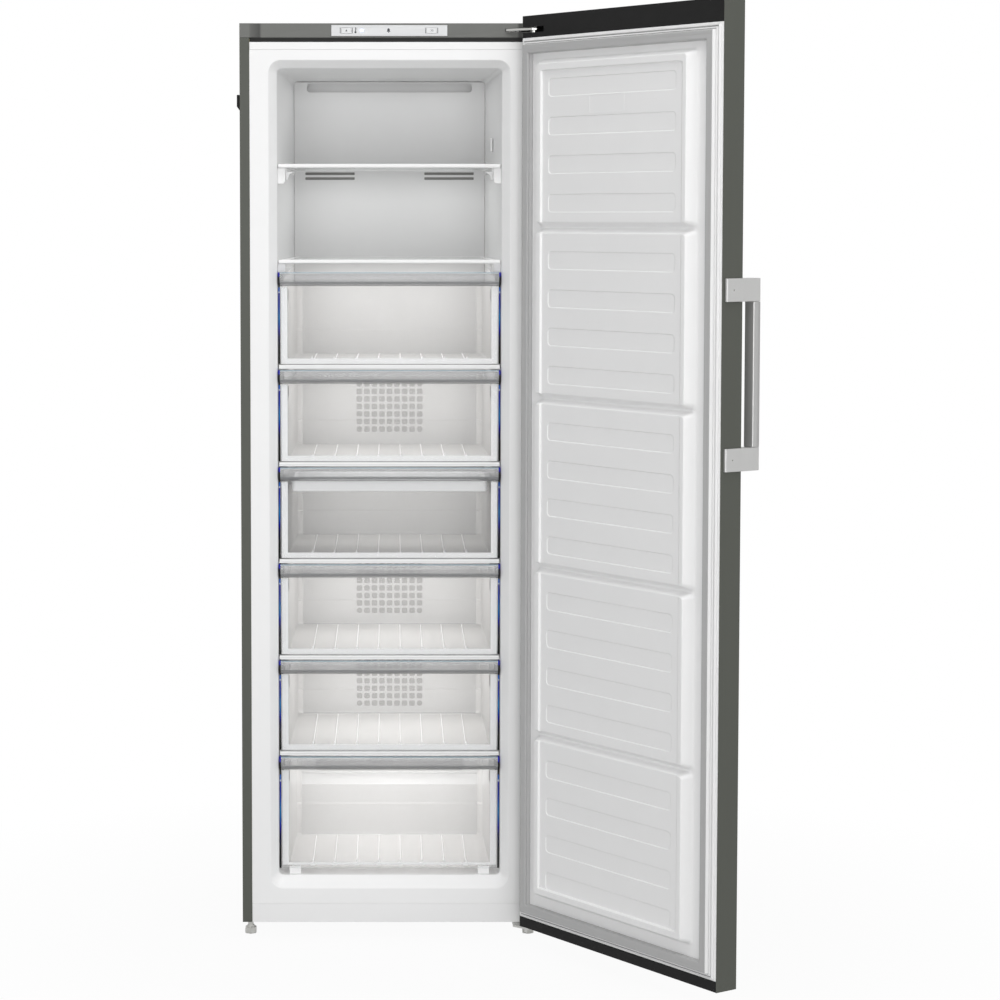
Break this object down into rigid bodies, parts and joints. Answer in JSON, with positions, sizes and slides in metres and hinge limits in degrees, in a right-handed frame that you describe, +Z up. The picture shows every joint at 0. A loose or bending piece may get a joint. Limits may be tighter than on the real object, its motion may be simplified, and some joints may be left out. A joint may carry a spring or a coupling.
{
  "type": "upright freezer",
  "caption": "Tall single-door freezer with its door open: shelves and clear-fronted drawers behind a bulged door liner with a bar handle at its free edge.",
  "frame": {"origin": "bottom centre of the box round the whole freezer with its door open", "axes": "+Z up; the front of the cabinet faces -Y; the door is hinged on the +X side"},
  "size_m": [0.9808, 1.1178, 1.8558],
  "materials": {
    "painted_steel": "satin",
    "top_plastic": "satin",
    "white_plastic": "satin",
    "white_steel": "satin",
    "duct_plastic": "satin",
    "clear_plastic": "gloss",
    "frosted_plastic": "satin",
    "shelf_glass": "gloss",
    "black_plastic": "satin",
    "gasket_rubber": "matte",
    "brushed_aluminium": "satin",
    "zinc_steel": "satin",
    "insulation": "matte",
    "compressor_paint": "satin",
    "pipe_copper": "satin",
    "fin_aluminium": "satin",
    "silver_plastic": "satin",
    "circuit_board": "satin",
    "black_rubber": "matte",
    "foot_plastic": "satin"
  },
  "bodies": {
    "cabinet": {"inner_liner": "white_plastic", "side_panel_left": "painted_steel", "side_panel_right": "painted_steel", "rear_panel": "white_steel", "front_rail_top": "white_steel", "front_rail_bottom": "white_steel", "base_plate": "white_steel", "cabinet_foam": "insulation", "condenser_tube": "pipe_copper", "top_panel": "top_plastic", "control_panel": "silver_plastic", "control_board": "circuit_board", "upper_hinge": "zinc_steel", "lower_hinge": "zinc_steel", "side_bumper": "black_plastic", "base_tray": "zinc_steel", "cord_gland": "black_rubber", "compressor": "compressor_paint", "drip_tray": "black_plastic", "duct_cover": "duct_plastic", "evaporator": "fin_aluminium", "defrost_heater": "fin_aluminium", "fan_motor": "black_plastic", "sensor_cover": "white_plastic", "shelf_1": "white_plastic", "shelf_2": "white_plastic", "glass_shelf_1": "shelf_glass", "glass_shelf_2": "shelf_glass", "glass_shelf_3": "shelf_glass", "glass_shelf_4": "shelf_glass", "glass_shelf_5": "shelf_glass"},
    "door": {"door_skin": "painted_steel", "door_cap_top": "black_plastic", "door_cap_bottom": "black_plastic", "door_liner": "white_plastic", "door_foam": "insulation", "door_gasket": "gasket_rubber", "handle_bracket_lower": "brushed_aluminium", "handle_bracket_upper": "brushed_aluminium", "handle_bar": "brushed_aluminium"},
    "drawer_1": {"drawer_1_bin": "frosted_plastic", "drawer_1_front": "clear_plastic"},
    "drawer_2": {"drawer_2_bin": "frosted_plastic", "drawer_2_front": "clear_plastic"},
    "drawer_3": {"drawer_3_bin": "frosted_plastic", "drawer_3_front": "clear_plastic"},
    "drawer_4": {"drawer_4_bin": "frosted_plastic", "drawer_4_front": "clear_plastic"},
    "drawer_5": {"drawer_5_bin": "frosted_plastic", "drawer_5_front": "clear_plastic"},
    "drawer_6": {"drawer_6_bin": "frosted_plastic", "drawer_6_front": "clear_plastic"},
    "sliding_tray": {"drawer_3_tray": "white_plastic"},
    "set_button": {"button_set": "silver_plastic"},
    "quick_button": {"button_quick": "silver_plastic"},
    "fan": {"fan_impeller": "white_plastic"},
    "left_foot": {"foot_left": "foot_plastic"},
    "right_foot": {"foot_right": "foot_plastic"},
    "left_roller": {"roller_left": "black_plastic"},
    "right_roller": {"roller_right": "black_plastic"}
  },
  "joints": [
    {"name": "door_hinge", "type": "hinge", "parent": "cabinet", "child": "door", "pos_m": [0.09859, -0.06632, 0.9], "axis": [0, 0, 1], "range_deg": [-124.8, 10.2]},
    {"name": "drawer_1_slide", "type": "slide", "parent": "cabinet", "child": "drawer_1", "axis": [0, -1, 0], "range_m": [0, 0.35]},
    {"name": "drawer_2_slide", "type": "slide", "parent": "cabinet", "child": "drawer_2", "axis": [0, -1, 0], "range_m": [0, 0.35]},
    {"name": "drawer_3_slide", "type": "slide", "parent": "cabinet", "child": "drawer_3", "axis": [0, -1, 0], "range_m": [0, 0.35]},
    {"name": "drawer_4_slide", "type": "slide", "parent": "cabinet", "child": "drawer_4", "axis": [0, -1, 0], "range_m": [0, 0.35]},
    {"name": "drawer_5_slide", "type": "slide", "parent": "cabinet", "child": "drawer_5", "axis": [0, -1, 0], "range_m": [0, 0.35]},
    {"name": "drawer_6_slide", "type": "slide", "parent": "cabinet", "child": "drawer_6", "axis": [0, -1, 0], "range_m": [0, 0.26]},
    {"name": "tray_slide", "type": "slide", "parent": "drawer_3", "child": "sliding_tray", "axis": [0, 1, 0], "range_m": [0, 0.2]},
    {"name": "set_button_press", "type": "slide", "parent": "cabinet", "child": "set_button", "axis": [0, 1, 0], "range_m": [0, 0.001], "stiffness_N_per_m": 250},
    {"name": "quick_button_press", "type": "slide", "parent": "cabinet", "child": "quick_button", "axis": [0, 1, 0], "range_m": [0, 0.001], "stiffness_N_per_m": 250},
    {"name": "fan_spin", "type": "hinge", "parent": "cabinet", "child": "fan", "pos_m": [-0.18711, 0.45817, 0.805], "axis": [0, 1, 0], "continuous": true},
    {"name": "left_foot_turn", "type": "hinge", "parent": "cabinet", "child": "left_foot", "pos_m": [-0.47061, 0.01818, 0.01], "axis": [0, 0, 1], "continuous": true},
    {"name": "right_foot_turn", "type": "hinge", "parent": "cabinet", "child": "right_foot", "pos_m": [0.09639, 0.01818, 0.01], "axis": [0, 0, 1], "continuous": true},
    {"name": "left_roller_roll", "type": "hinge", "parent": "cabinet", "child": "left_roller", "pos_m": [-0.43661, 0.52617, 0.012], "axis": [1, 0, 0], "continuous": true},
    {"name": "right_roller_roll", "type": "hinge", "parent": "cabinet", "child": "right_roller", "pos_m": [0.06239, 0.52617, 0.012], "axis": [1, 0, 0], "continuous": true}
  ]
}
